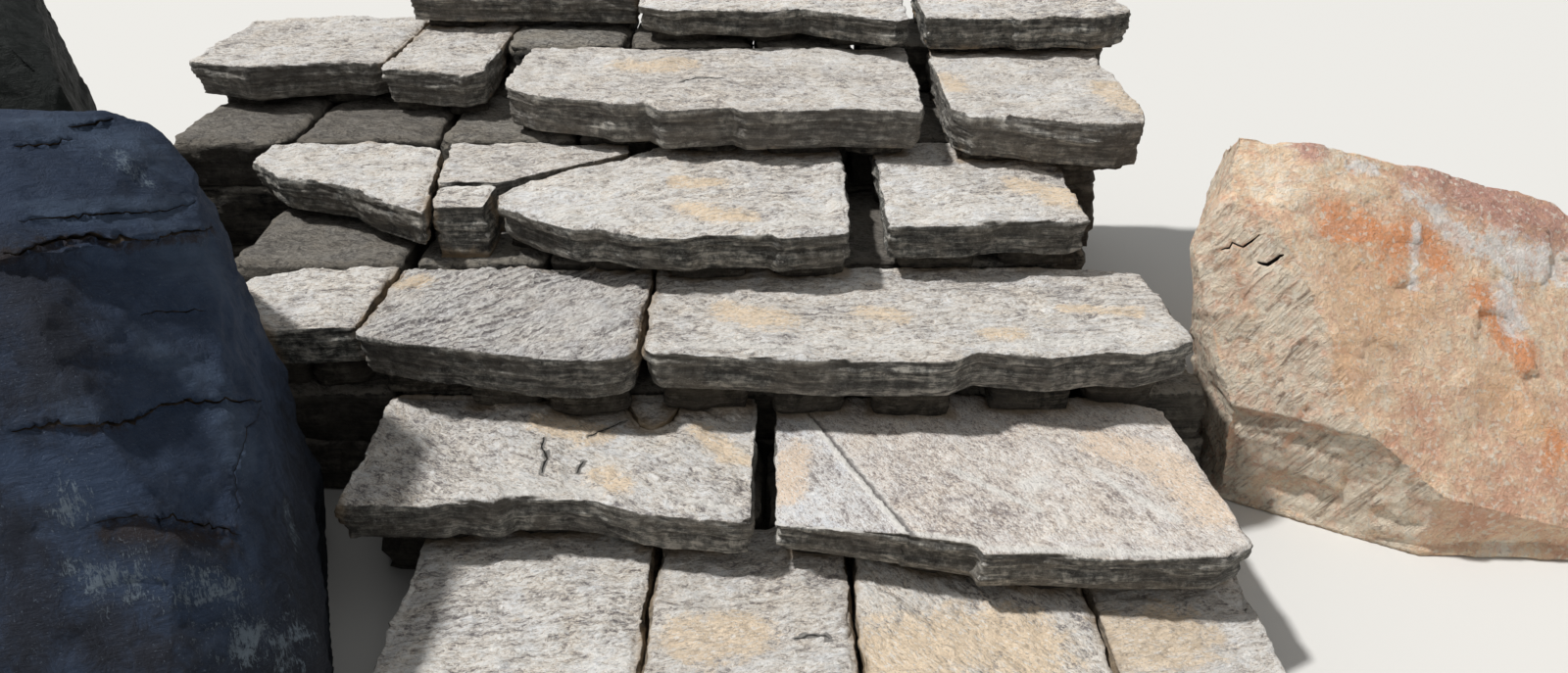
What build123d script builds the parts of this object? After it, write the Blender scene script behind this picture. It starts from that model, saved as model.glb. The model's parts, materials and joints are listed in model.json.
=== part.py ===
from build123d import *
import os
from math import cos, radians, sin

os.makedirs("parts", exist_ok=True)

# Outdoor stone steps: six courses of split slabs, dry laid between boulders.
# +X points right, +Y up the flight and +Z up. The origin lies on the ground,
# under the middle slab of the bottom step. All sizes are in millimetres.

# Rise of each step, from the ground up
rise_1 = 150
rise_2 = 155
rise_3 = 200
rise_4 = 155
rise_5 = 160
rise_6 = 130

# Going of each step, from its nose line to the next one
going_1 = 460
going_2 = 490
going_3 = 330
going_4 = 530
going_5 = 540
top_tread = 600
foot_to_nose = 230

# How far the slabs of each step run on under the step above
bearing_1 = 330
bearing_2 = 170
bearing_3 = 170
bearing_4 = 200
bearing_5 = 160

# Where each course starts, at its left end
left_end_1 = -810
left_end_2 = -970
left_end_3 = -1390
left_end_4 = -1530
left_end_5 = -1905
left_end_6 = -1300

# Length and thickness of the main slabs
step1_left_length = 520
step1_middle_length = 418
step1_inner_length = 488
step1_right_length = 335
step2_left_length = 905
step2_left_thickness = 112
step2_right_length = 985
step2_right_thickness = 110
step3_left_length = 365
step3_left_thickness = 110
step3_middle_length = 670
step3_middle_thickness = 122
step3_right_length = 1300
step3_right_thickness = 118
step4_left_length = 594
step4_left_thickness = 112
step4_middle_length = 937
step4_middle_thickness = 112
step4_right_length = 525
step4_right_thickness = 105
step5_left_length = 630
step5_left_thickness = 118
step5_inner_length = 325
step5_inner_thickness = 122
step5_middle_length = 1240
step5_middle_thickness = 130
step5_right_length = 540
step5_right_thickness = 134
step6_left_length = 800
step6_left_thickness = 100
step6_middle_length = 890
step6_middle_thickness = 96
step6_right_length = 670
step6_right_thickness = 108

# Bedding and base work
joint = 12
packing_recess = 38
packing_length = 175
packing_depth = 115
packing_pitch = 265
packing_taper = 9
split_joint = 5
filler_joint = 18
filler_setback = 45
filler_depth = 150
base_stone_length = 430
base_recess = 30
base_reach = 150

# Near left lower corner and size of each boulder
left_boulder_corner = (-2090, -430, 0)
left_boulder_size = (1310, 1580, 1150)
right_boulder_corner = (985, 420, 0)
right_boulder_size = (1215, 1220, 900)
upper_boulder_size = (700, 840, 1190)

# The upper boulder lies behind the left one, a little to its left and nested against it
upper_boulder_outset = 330
upper_boulder_nest = 90
upper_boulder_corner = (
    left_boulder_corner[0] - upper_boulder_outset,
    left_boulder_corner[1] + left_boulder_size[1] - upper_boulder_nest,
    0,
)

rises = [rise_1, rise_2, rise_3, rise_4, rise_5, rise_6]
goings = [going_1, going_2, going_3, going_4, going_5]
bearings = [bearing_1, bearing_2, bearing_3, bearing_4, bearing_5]
left_ends = [left_end_1, left_end_2, left_end_3, left_end_4, left_end_5, left_end_6]
step_count = len(rises)

tops = [sum(rises[: step + 1]) for step in range(step_count)]
floors = [0] + tops[:-1]
noses = [sum(goings[:step]) - foot_to_nose for step in range(step_count)]
back_of_flight = noses[-1] + top_tread
rears = [noses[step + 1] + bearings[step] for step in range(step_count - 1)] + [back_of_flight]

# Riser faces: (share of the thickness below the top, how far the face stands back)
split_riser = [(0, 7), (0.12, 0), (0.48, 5), (0.54, 12), (1, 26)]
ledged_riser = [(0, 6), (0.1, 0), (0.3, 4), (0.36, 18), (0.7, 12), (1, 34)]
plain_riser = [(0, 6), (0.15, 0), (1, 16)]


def along(points, share):
    """Set-back of an edge at a share of its length."""
    for (share_a, back_a), (share_b, back_b) in zip(points, points[1:]):
        if share <= share_b:
            part = (share - share_a) / (share_b - share_a)
            return back_a + part * (back_b - back_a)
    return points[-1][1]


def deepest(points, share_a, share_b):
    """Largest set-back of an edge between two shares of its length."""
    between = [back for share, back in points if share_a < share < share_b]
    return max([along(points, share_a), along(points, share_b)] + between)


def uneven(index, amount):
    """A small difference from stone to stone, the same in every build."""
    return amount * sin(2.4 * index + 0.7)


def prism(points, low, high):
    """A straight-sided stone with this outline."""
    face = make_face(Polyline(*points, close=True))
    return extrude(Pos(0, 0, low) * face, high - low)


def tapered(plans):
    """A stone with these outlines, each at its own height."""
    faces = [Pos(0, 0, height) * make_face(Polyline(*plan, close=True)) for height, plan in plans]
    return loft(faces, ruled=True)


def largest(shape):
    """The largest solid that a cut leaves, or None where it leaves nothing."""
    solids = sorted(shape.solids(), key=lambda solid: solid.volume) if shape else []
    return solids[-1] if solids else None


class Slab:
    """One split slab: its nose edge, its rear edge and the broken face of its riser."""

    def __init__(self, name, step, left, length, thickness, nose, rear, riser=split_riser, rear_line=None):
        self.name = name
        self.step = step
        self.left = left
        self.length = length
        self.right = left + length
        self.thickness = thickness
        self.nose = nose
        self.rear = rear
        self.riser = riser
        self.rear_line = rears[step] if rear_line is None else rear_line
        self.top = tops[step]
        self.underside = self.top - thickness

    def narrowed(self, points, stand_back):
        """Points of the plan, drawn in from both ends where the riser stands back this far."""
        middle = self.left + self.length / 2
        shrink = 1 - stand_back / self.length
        return [(middle + (x - middle) * shrink, y) for x, y in points]

    def outline(self, stand_back):
        """Plan of the slab where its riser stands back this far."""
        front = [(self.left + share * self.length, noses[self.step] + back + stand_back) for share, back in self.nose]
        behind = [(self.left + share * self.length, self.rear_line - short) for share, short in reversed(self.rear)]
        return self.narrowed(front + behind, stand_back)

    def levels(self):
        """Heights down the broken edge, with how far it stands back there."""
        return [(self.top - share * self.thickness, stand_back) for share, stand_back in self.riser]

    def solid(self):
        """The slab, as one face after another down its broken edge."""
        return tapered([(height, self.outline(stand_back)) for height, stand_back in self.levels()])

    def packing(self):
        """Small stones that carry the slab: a front row with room between them, and a closed back row."""
        low = floors[self.step]
        footing = prism(self.outline(self.riser[-1][1]), low, self.underside)
        count = max(2, round(self.length / packing_pitch))
        bay = self.length / count
        stones = []
        for index in range(count):
            bay_middle = (index + 0.5) * bay
            middle = bay_middle + uneven(index, 18)
            half = min(packing_length, bay - 3 * joint) / 2 + uneven(index + 3, 9)
            ends = ((middle - half) / self.length, (middle + half) / self.length)
            front = noses[self.step] + deepest(self.nose, *ends) + self.riser[-1][1] + packing_recess
            rows = [(self.left + middle, front, half)]
            shares = (index / count, (index + 1) / count)
            back = self.rear_line - deepest(self.rear, *shares) - joint - packing_depth
            if back > front + packing_depth + joint:
                rows.append((self.left + bay_middle, back, bay / 2 - joint))
            for x, y, half in rows:
                skew = uneven(index + y, 7)
                plan = [
                    (x - half, y + joint),
                    (x - half / 3, y),
                    (x + half, y + joint + skew),
                    (x + half - packing_taper, y + packing_depth),
                    (x - half + packing_taper, y + packing_depth - packing_taper),
                ]
                stones.append(largest(prism(plan, low, self.underside) & footing))
        return [stone for stone in stones if stone is not None]


def course(step, *stones):
    """Slabs of one step from left to right, each after its own gap."""
    slabs = []
    edge = left_ends[step]
    for gap, name, sizes in stones:
        slab = Slab(name, step, edge + gap, **sizes)
        slabs.append(slab)
        edge = slab.right
    return slabs


step_1 = course(
    0,
    (0, "step1_left_slab", dict(length=step1_left_length, thickness=rise_1,
        nose=[(0, 60), (0.12, 25), (0.45, 10), (0.8, 22), (1, 12)],
        rear=[(0, 30), (0.5, 8), (1, 0)])),
    (joint, "step1_middle_slab", dict(length=step1_middle_length, thickness=rise_1,
        nose=[(0, 14), (0.2, 0), (0.55, 8), (0.85, -6), (1, 10)],
        rear=[(0, 0), (0.4, 12), (1, 4)])),
    (joint, "step1_inner_slab", dict(length=step1_inner_length, thickness=rise_1,
        nose=[(0, 4), (0.3, -8), (0.62, 6), (1, 0)],
        rear=[(0, 6), (0.6, 14), (1, 0)])),
    (joint, "step1_right_slab", dict(length=step1_right_length, thickness=rise_1,
        nose=[(0, 8), (0.4, -5), (0.8, 12), (1, 40)],
        rear=[(0, 0), (0.7, 10), (1, 60)])),
)

# A piece has split out of the back of one slab, and lies in its place
notch = [(0.635, 0), (0.655, 62), (0.69, 128), (0.725, 158), (0.765, 132), (0.79, 66), (0.8, 0)]

step_2 = course(
    1,
    (0, "step2_left_slab", dict(length=step2_left_length, thickness=step2_left_thickness,
        nose=[(0, 200), (0.24, 199), (0.27, 213), (0.38, 200), (0.42, 226), (0.62, 217), (0.73, 171), (0.8, 161),
              (0.91, 147), (0.96, 137), (1, 145)],
        rear=[(0, 0)] + notch + [(1, 10)])),
    (42, "step2_right_slab", dict(length=step2_right_length, thickness=step2_right_thickness,
        nose=[(0, 150), (0.07, 138), (0.2, 108), (0.3, 88), (0.42, 58), (0.43, 24), (0.56, 28), (0.68, 16),
              (0.78, 13), (0.93, 16), (1, 60)],
        rear=[(0, 15), (0.4, 0), (0.8, 8), (0.96, 90)], riser=ledged_riser)),
)

step_3 = course(
    2,
    (0, "step3_left_slab", dict(length=step3_left_length, thickness=step3_left_thickness,
        nose=[(0, 165), (0.3, 140), (0.7, 146), (1, 160)],
        rear=[(0, 60), (0.4, 8), (1, 0)], riser=plain_riser)),
    (joint, "step3_middle_slab", dict(length=step3_middle_length, thickness=step3_middle_thickness,
        nose=[(0, 119), (0.2, 70), (0.4, 50), (0.58, 13), (0.69, -1), (0.85, -11), (0.96, 13), (1, 45)],
        rear=[(0, 20), (0.5, 0), (1, 6)])),
    (joint, "step3_right_slab", dict(length=step3_right_length, thickness=step3_right_thickness,
        nose=[(0, 50), (0.02, 22), (0.12, 13), (0.29, -5), (0.42, -15), (0.55, -15), (0.6, 31), (0.73, 0),
              (0.83, 31), (0.9, 22), (1, 79)],
        rear=[(0, 0), (0.45, 12), (0.8, 0), (0.98, 40)], riser=ledged_riser)),
)

step_4 = course(
    3,
    (0, "step4_left_slab", dict(length=step4_left_length, thickness=step4_left_thickness,
        nose=[(0, 560), (0.2, 436), (0.56, 367), (0.73, 271), (1, 167)],
        rear=[(0, 25), (0.5, 0), (0.86, 60)])),
    (166, "step4_middle_slab", dict(length=step4_middle_length, thickness=step4_middle_thickness,
        nose=[(0, 293), (0.02, 215), (0.13, 127), (0.26, 56), (0.33, 63), (0.42, 19), (0.56, 0), (0.62, 25),
              (0.79, 25), (0.81, 0), (1, 31)],
        rear=[(0.02, 380), (0.15, 250), (0.35, 120), (0.5, 10), (1, 0)], riser=ledged_riser)),
    (95, "step4_right_slab", dict(length=step4_right_length, thickness=step4_right_thickness,
        nose=[(0, 88), (0.15, 82), (0.4, 88), (0.58, 108), (0.9, 108), (1, 127)],
        rear=[(0, 0), (0.5, 12), (1, 0)])),
)

step_5 = course(
    4,
    (0, "step5_left_slab", dict(length=step5_left_length, thickness=step5_left_thickness,
        nose=[(0, 535), (0.36, 441), (0.53, 487), (0.79, 523), (0.94, 499), (1, 540)],
        rear=[(0, 60), (0.4, 0), (1, 0)], rear_line=back_of_flight)),
    (joint, "step5_inner_slab", dict(length=step5_inner_length, thickness=step5_inner_thickness,
        nose=[(0, 441), (0.33, 430), (0.66, 396), (0.83, 374), (1, 430)],
        rear=[(0, 8), (1, 0)], rear_line=back_of_flight)),
    (98, "step5_middle_slab", dict(length=step5_middle_length, thickness=step5_middle_thickness,
        nose=[(0, 245), (0.075, 164), (0.25, 96), (0.28, 67), (0.36, 77), (0.4, 11), (0.56, 39), (0.59, -7),
              (0.81, 20), (0.985, 2), (1, 60)],
        rear=[(0, 0), (0.3, 14), (0.7, 0), (1, 8)], riser=ledged_riser)),
    (70, "step5_right_slab", dict(length=step5_right_length, thickness=step5_right_thickness,
        nose=[(0, 30), (0.1, -34), (0.2, -34), (0.4, -79), (0.71, -130), (0.83, -139), (0.96, -105), (1, 0)],
        rear=[(0, 6), (0.5, 0), (1, 20)])),
)

step_6 = course(
    5,
    (0, "step6_left_slab", dict(length=step6_left_length, thickness=step6_left_thickness,
        nose=[(0, 380), (0.3, 345), (0.6, 360), (1, 330)],
        rear=[(0, 0), (0.5, 10), (1, 0)])),
    (joint, "step6_middle_slab", dict(length=step6_middle_length, thickness=step6_middle_thickness,
        nose=[(0, 200), (0.14, 116), (0.22, 144), (0.48, 102), (0.61, 158), (0.77, 60), (0.95, -20), (1, 20)],
        rear=[(0, 0), (0.6, 8), (1, 0)], riser=ledged_riser)),
    (48, "step6_right_slab", dict(length=step6_right_length, thickness=step6_right_thickness,
        nose=[(0, 0), (0.2, 6), (0.41, 33), (0.44, -7), (0.63, 33), (0.8, 6), (1, 88)],
        rear=[(0, 4), (0.5, 0), (1, 30)])),
)

courses = [step_1, step_2, step_3, step_4, step_5, step_6]


def base_band(level, near, far, left, right):
    """Rough stones side by side in one band of a base course."""
    count = max(1, round((right - left) / base_stone_length))
    bay = (right - left) / count
    stones = []
    for index in range(count):
        a = left + index * bay + (uneven(index + level, 40) if index else 0)
        b = left + (index + 1) * bay + (uneven(index + 1 + level, 40) if index + 1 < count else 0) - joint
        wobble = uneven(index * 3 + level, 5)
        plan = [
            (a, near + joint + 6),
            ((2 * a + b) / 3, near + joint),
            (b - 4, near + joint + 7 + wobble),
            (b, far - 6),
            (a + 5, far - wobble - 5),
        ]
        stones.append(prism(plan, floors[level], tops[level]))
    return stones


# Small stones that fill the course where two slabs leave room: the left one's
# right edge and the chipped rear corner of the middle one bound them
left_slab, middle_slab = step_4[0], step_4[1]
edge_near, edge_far = left_slab.outline(0)[len(left_slab.nose) - 1 : len(left_slab.nose) + 1]
chipped_rear, chipped_side = [
    (x - filler_joint, y + filler_joint) for x, y in middle_slab.outline(0)[-3:-1]
]


def beside_left_slab(y):
    """The point a joint away from the left slab's right edge at this depth."""
    share = (y - edge_near[1]) / (edge_far[1] - edge_near[1])
    return (edge_near[0] + share * (edge_far[0] - edge_near[0]) + filler_joint, y)


filler_front = edge_near[1] + filler_setback
filler_split = filler_front + filler_depth
filler_right = middle_slab.left - filler_joint
filler_plans = [
    [beside_left_slab(filler_front), (filler_right, filler_front),
     (filler_right, filler_split), beside_left_slab(filler_split)],
    [beside_left_slab(filler_split + filler_joint), (filler_right, filler_split + filler_joint),
     chipped_side, chipped_rear, (chipped_rear[0], rears[3] - joint),
     (edge_far[0] + filler_joint, rears[3] - joint)],
]

# The piece that split out of the notch follows it down, a narrow split away, to its own bed
notched = step_2[0]
notch_middle = (notch[0][0] + notch[-1][0]) / 2
notch_width = (notch[-1][0] - notch[0][0]) * notched.length
notch_shrink = 1 - 2 * split_joint / notch_width
back_stone_plan = [
    (notched.left + (notch_middle + (share - notch_middle) * notch_shrink) * notched.length,
     rears[1] - max(short - split_joint, split_joint))
    for share, short in notch
]
back_stone = tapered([
    (height, notched.narrowed(back_stone_plan, stand_back))
    for height, stand_back in notched.levels() + [(floors[1], notched.riser[-1][1])]
])

# Boulders: a block cut back by planes, each given by a point, as shares of the
# block's size from its near left lower corner, and by its bearing and its lean
left_boulder_cuts = [
    ((0.855, 0.544, 0.265), 21, -9),
    ((0.847, 0.544, 0.287), 20, 12),
    ((0.779, 0.589, 0.652), 12, 24),
    ((0.718, 0.62, 0.774), 4, 36),
    ((0.632, 0.652, 0.913), -4, 58),
    ((0.672, 0.791, 0.304), 38, 4),
    ((0.58, 0.842, 0.696), 52, 24),
    ((0.973, 0.272, 0.261), -6, -8),
    ((0.969, 0.272, 0.287), -8, 14),
    ((0.863, 0.152, 0.487), -36, 20),
    ((0.527, 0.051, 0.417), -80, 14),
    ((0.45, 0.196, 0.748), -80, 34),
    ((0.45, 0.481, 0.961), -82, 70),
    ((0.45, 0.709, 0.974), 84, 58),
    ((0.374, 0.937, 0.609), 98, 18),
    ((0.221, 0.462, 0.87), 176, 52),
    ((0.038, 0.335, 0.435), 186, 10),
    ((0.099, 0.095, 0.348), 230, 14),
    ((0.107, 0.842, 0.435), 140, 16),
    ((0.298, 0.032, 0.217), -86, -12),
]
right_boulder_cuts = [
    ((0.012, 0.475, 0.667), 188, -9),
    ((0.012, 0.475, 0.667), 194, 8),
    ((0.103, 0.623, 0.944), 196, 40),
    ((0.03, 0.566, 0.667), 158, -7),
    ((0.045, 0.598, 0.722), 160, 14),
    ((0.223, 0.41, 0.8), 238, 22),
    ((0.223, 0.41, 0.8), 258, 58),
    ((0.259, 0.23, 0.333), 240, -10),
    ((0.444, 0.533, 0.844), 283, 40),
    ((0.457, 0.615, 0.922), 290, 54),
    ((0.457, 0.616, 0.924), 68, 63),
    ((0.465, 0.135, 0.222), 266, -12),
    ((0.753, 0.918, 0.667), 82, 18),
    ((0.218, 0.934, 0.556), 122, 16),
    ((0.967, 0.393, 0.444), 4, 12),
    ((0.901, 0.197, 0.333), 318, 16),
    ((0.918, 0.844, 0.556), 42, 18),
    ((0.918, 0.557, 0.711), 12, 44),
]
upper_boulder_cuts = [
    ((0.829, 0.405, 0.672), 27, 9),
    ((0.714, 0.345, 0.252), 20, -14),
    ((0.643, 0.405, 0.95), 10, 42),
    ((0.886, 0.071, 0.42), -30, 10),
    ((0.457, 0.155, 0.672), -86, 14),
    ((0.457, 0.321, 0.966), -80, 54),
    ((0.1, 0.524, 0.756), 184, 16),
    ((0.586, 0.917, 0.672), 66, 16),
    ((0.171, 0.821, 0.588), 130, 20),
    ((0.129, 0.226, 0.504), 226, 16),
    ((0.386, 0.762, 0.966), 80, 58),
]

# The top layer of the left boulder overhangs along an open bedding crack
ledge_depth = 26
ledge_lean = 20
bedding_point = (0.702, 0.367, 0.9)
bedding_bearing = 117
bedding_rise = 64


def facing(bearing, lean):
    """Unit vector that points this way in plan and leans back this far."""
    return Vector(
        cos(radians(lean)) * cos(radians(bearing)),
        cos(radians(lean)) * sin(radians(bearing)),
        sin(radians(lean)),
    )


def within(corner, size, shares):
    """The point at these shares of a block's size."""
    return Vector(*[near + share * length for near, share, length in zip(corner, shares, size)])


def boulder(corner, size, cuts, set_in=0):
    """A block cut back by planes, with its sloping upper faces set in this far."""
    block = Pos(*within(corner, size, (0.5, 0.5, 0.5))) * Box(*size)
    for shares, bearing, lean in cuts:
        outward = facing(bearing, lean)
        origin = within(corner, size, shares)
        if lean > ledge_lean:
            origin -= outward * set_in
        block = split(block, Plane(origin=origin, z_dir=outward), keep=Keep.BOTTOM)
    return block


left_boulder_form = (left_boulder_corner, left_boulder_size, left_boulder_cuts)
bedding_origin = within(left_boulder_corner, left_boulder_size, bedding_point)
bedding_plane = Plane(origin=bedding_origin, z_dir=facing(bedding_bearing, bedding_rise))
top_layer = split(boulder(*left_boulder_form), bedding_plane, keep=Keep.TOP)
lower_body = split(boulder(*left_boulder_form, set_in=ledge_depth), bedding_plane, keep=Keep.BOTTOM)
left_boulder = top_layer + lower_body
right_boulder = boulder(right_boulder_corner, right_boulder_size, right_boulder_cuts)
upper_left_boulder = boulder(upper_boulder_corner, upper_boulder_size, upper_boulder_cuts) - left_boulder
boulders = [left_boulder, right_boulder, upper_left_boulder]


def overlaps(stone, other):
    """True where the boxes round two stones share some space."""
    a = stone.bounding_box()
    b = other.bounding_box()
    return all(
        low_a < high_b and low_b < high_a
        for low_a, high_a, low_b, high_b in (
            (a.min.X, a.max.X, b.min.X, b.max.X),
            (a.min.Y, a.max.Y, b.min.Y, b.max.Y),
            (a.min.Z, a.max.Z, b.min.Z, b.max.Z),
        )
    )


def scribed(stone):
    """The stone as dressed to fit against the boulders, or None where a boulder takes its place."""
    for rock in boulders:
        if overlaps(stone, rock):
            stone = stone - rock
    return largest(stone)


def write(name, stones):
    shape = stones[0] if len(stones) == 1 else Compound(children=list(stones))
    export_step(shape, "parts/" + name + ".step")


# The corner of one slab has flaked off along a slanting ridge
flake_ridge_near = 285
flake_ridge_far = 130
flake_ridge_run = 360
flake_ridge_back = 93
flake_slope = 5


def flaked(slab, solid):
    """The slab cut back by a plane that falls away to the left of the ridge."""
    near = Vector(slab.left + flake_ridge_near, noses[slab.step] + flake_ridge_back, slab.top)
    far = near + Vector(flake_ridge_far - flake_ridge_near, flake_ridge_run, 0)
    ridge = (far - near).normalized()
    leftward = Vector(-ridge.Y, ridge.X, 0)
    outward = leftward * sin(radians(flake_slope)) + Vector(0, 0, cos(radians(flake_slope)))
    return split(solid, Plane(origin=near, z_dir=outward), keep=Keep.BOTTOM)


for slabs in courses:
    for slab in slabs:
        solid = slab.solid()
        if slab.name == "step2_right_slab":
            solid = flaked(slab, solid)
        write(slab.name, [scribed(solid)])

write("step4_filler_stones", [prism(plan, floors[3], tops[3]) for plan in filler_plans])
write("step2_back_stone", [back_stone])

for step in range(1, step_count):
    packing = [scribed(stone) for slab in courses[step] for stone in slab.packing()]
    write("bedding_stones_" + str(step + 1), [stone for stone in packing if stone is not None])

# The base bands end a little inside the slabs, but one runs on to the right boulder,
# and the last reaches left under the slabs of the fifth step that run to the back
band_left = [slabs[0].left + base_recess for slabs in courses]
band_left[5] = band_left[4]
band_right = [slabs[-1].right - base_recess for slabs in courses]
band_right[2] = right_boulder_corner[0] + base_reach

for level in range(step_count - 1):
    stones = []
    for band in range(level + 1, step_count):
        left = band_left[band] + uneven(level + 2 * band, 14)
        right = band_right[band]
        if level == step_count - 2:
            left = step_5[1].right + joint
        stones += base_band(level, rears[band - 1], rears[band], left, right)
    stones = [scribed(stone) for stone in stones]
    write("base_course_" + str(level + 1), [stone for stone in stones if stone is not None])

write("left_boulder", [left_boulder])
write("right_boulder", [right_boulder])
write("upper_left_boulder", [upper_left_boulder])
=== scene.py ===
import json
import math

import bmesh
import bpy
import numpy as np
from mathutils import Matrix, Vector
from mathutils.bvhtree import BVHTree


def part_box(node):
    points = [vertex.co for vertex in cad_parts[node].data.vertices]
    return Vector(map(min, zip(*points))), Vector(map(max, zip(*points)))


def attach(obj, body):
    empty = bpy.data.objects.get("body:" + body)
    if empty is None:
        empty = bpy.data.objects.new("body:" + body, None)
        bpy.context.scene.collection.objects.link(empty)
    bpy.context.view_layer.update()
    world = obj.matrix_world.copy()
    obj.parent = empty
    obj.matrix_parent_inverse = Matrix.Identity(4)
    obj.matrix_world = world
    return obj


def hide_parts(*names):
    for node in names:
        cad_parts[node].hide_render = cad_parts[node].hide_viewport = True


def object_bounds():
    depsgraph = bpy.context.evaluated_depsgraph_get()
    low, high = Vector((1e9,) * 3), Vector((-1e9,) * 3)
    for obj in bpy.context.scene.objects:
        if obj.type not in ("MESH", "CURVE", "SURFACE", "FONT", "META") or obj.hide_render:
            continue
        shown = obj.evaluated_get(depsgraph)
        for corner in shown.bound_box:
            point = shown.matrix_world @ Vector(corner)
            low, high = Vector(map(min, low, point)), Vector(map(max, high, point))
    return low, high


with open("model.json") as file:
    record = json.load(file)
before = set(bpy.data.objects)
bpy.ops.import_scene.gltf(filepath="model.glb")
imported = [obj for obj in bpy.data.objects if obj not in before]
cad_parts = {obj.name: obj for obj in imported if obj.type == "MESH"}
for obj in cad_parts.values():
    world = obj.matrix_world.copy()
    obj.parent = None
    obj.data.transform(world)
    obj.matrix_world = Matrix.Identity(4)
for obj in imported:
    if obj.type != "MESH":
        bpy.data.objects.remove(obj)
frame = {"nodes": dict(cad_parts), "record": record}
cadBounds = [list(corner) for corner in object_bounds()]
nodes = frame["nodes"]
slots = {entry["node"]: entry["material_slot"] for entry in frame["record"]["subparts"]}
print("frame loaded:", len(nodes), "nodes")


# camera at the photo's place: standing at the foot of the flight, looking down at it
viewing = {
    "eye": (0.0, -1.65, 1.817),
    "lookDown": 28.0,          # degrees under the horizon
    "focalPixels": 1209.0,     # in the photo's own frame
    "photoSize": (1600, 687),
    "sensor": 36.0,
}


def placed(name, data):
    thing = bpy.data.objects.new(name, data)
    bpy.context.collection.objects.link(thing)
    return thing


def makeCamera():
    lens = bpy.data.cameras.new("viewCamera")
    lens.sensor_width = viewing["sensor"]
    lens.lens = viewing["focalPixels"] * viewing["sensor"] / viewing["photoSize"][0]
    camera = placed("viewCamera", lens)
    camera.location = viewing["eye"]
    camera.rotation_euler = (math.radians(90 - viewing["lookDown"]), 0, 0)
    bpy.context.scene.camera = camera


def photoRay(across, down):
    # from the camera through a point of the photo
    wide, high = viewing["photoSize"]
    tilt = math.radians(viewing["lookDown"])
    ahead = Vector((0, math.cos(tilt), -math.sin(tilt)))
    upward = Vector((0, math.sin(tilt), math.cos(tilt)))
    sideways = Vector(((across - wide / 2) / viewing["focalPixels"], 0, 0))
    return Vector(viewing["eye"]), ahead + sideways + upward * (high / 2 - down) / viewing["focalPixels"]


makeCamera()
print("camera placed")


# helpers for node trees, used by the geometry tree and by the materials
trees = []   # the last one is the tree that is being built


def plug(socket, value):
    # a link from another node's socket, or else a plain value
    if isinstance(value, bpy.types.NodeSocket):
        trees[-1].links.new(value, socket)
    else:
        socket.default_value = value


def putNode(kind, inputs=None, **settings):
    node = trees[-1].nodes.new(kind)
    for key, value in settings.items():
        setattr(node, key, value)
    for key, value in (inputs or {}).items():
        plug(node.inputs[key], value)
    return node


def maths(operation, a, b=0.0):
    return putNode("ShaderNodeMath", {0: a, 1: b}, operation=operation).outputs[0]


def times(*values):
    result = values[0]
    for value in values[1:]:
        result = maths("MULTIPLY", result, value)
    return result


def total(*values):
    result = values[0]
    for value in values[1:]:
        result = maths("ADD", result, value)
    return result


def weighed(*parts):
    # a sum of values, each with its own weight
    return total(*[times(value, weight) for value, weight in parts])


def swing(noise, amount):
    # a noise's swing to both sides of nothing
    return times(maths("SUBTRACT", noise, 0.5), amount)


def frayed(value, *noises):
    # a value whose edge is broken up by noises, each with its own strength
    return total(value, *[swing(noise, amount) for noise, amount in noises])


def vectors(operation, a, b):
    return putNode("ShaderNodeVectorMath", {0: a, 1: b}, operation=operation).outputs[0]


def dot(a, b):
    return putNode("ShaderNodeVectorMath", {0: a, 1: b}, operation="DOT_PRODUCT").outputs["Value"]


def stretched(where, *stretch):
    return vectors("MULTIPLY", where, stretch)


def combined(x, y, z):
    return putNode("ShaderNodeCombineXYZ", {0: x, 1: y, 2: z}).outputs[0]


def upPart(vector):
    return putNode("ShaderNodeSeparateXYZ", {0: vector}).outputs[2]


def ranged(value, low, high, start=0.0, end=1.0):
    inputs = {"Value": value, "From Min": low, "From Max": high, "To Min": start, "To Max": end}
    return putNode("ShaderNodeMapRange", inputs, interpolation_type="SMOOTHSTEP").outputs["Result"]


def cloud(where, scale, detail=4.0, roughness=0.55, distortion=0.0):
    inputs = {
        "Vector": where, "Scale": scale, "Detail": detail, "Roughness": roughness, "Distortion": distortion,
    }
    return putNode("ShaderNodeTexNoise", inputs).outputs["Fac"]


def scaled(where, size, stretch=(1.0, 1.0, 1.0)):
    # a place measured in patterns of this size
    return vectors("DIVIDE", stretched(where, *stretch), combined(size, size, size))


def measured(where, direction, along, across):
    # a place measured along a direction and across it at two scales
    axis = Vector(direction).normalized()
    side = axis.orthogonal().normalized()
    lines = (axis * along, side * across, axis.cross(side) * across)
    return combined(*[dot(where, line) for line in lines])


def facets(where):
    # flat chips side by side, each tilted its own way
    cells = putNode("ShaderNodeTexVoronoi", {"Vector": where, "Scale": 1.0}).outputs
    tilt = vectors("SUBTRACT", cells["Color"], (0.5, 0.5, 0.5))
    away = vectors("SUBTRACT", where, cells["Position"])
    return total(dot(tilt, away), 0.5)


# weathering: one geometry tree gives every stone its split plates, flaked terraces, chips and swells
weatherInputs = {
    "plateHeight": "thickness of the plates in a broken face",
    "plateDepth": "how far the plates stand in and out",
    "roughSize": "size of the lumps of a broken face",
    "roughDepth": "depth of those lumps",
    "facetShare": "how much of that depth is flat chips",
    "terraceSize": "width of the flakes on top",
    "terraceDepth": "depth of all the flakes together",
    "grainTurn": "turn of the grain in plan, in radians",
    "ridgeSize": "spacing of the layers that crop out on top",
    "ridgeDepth": "depth of the step from one such layer to the next",
    "chipSize": "size of the chips along the rims",
    "chipDepth": "depth of those chips",
    "swellSize": "width of the slow swells",
    "swellDepth": "depth of the slow swells",
    "outset": "how far the faces start outside the plain stone, before all the cuts",
    "seed": "another stone of the same kind",
}
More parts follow.
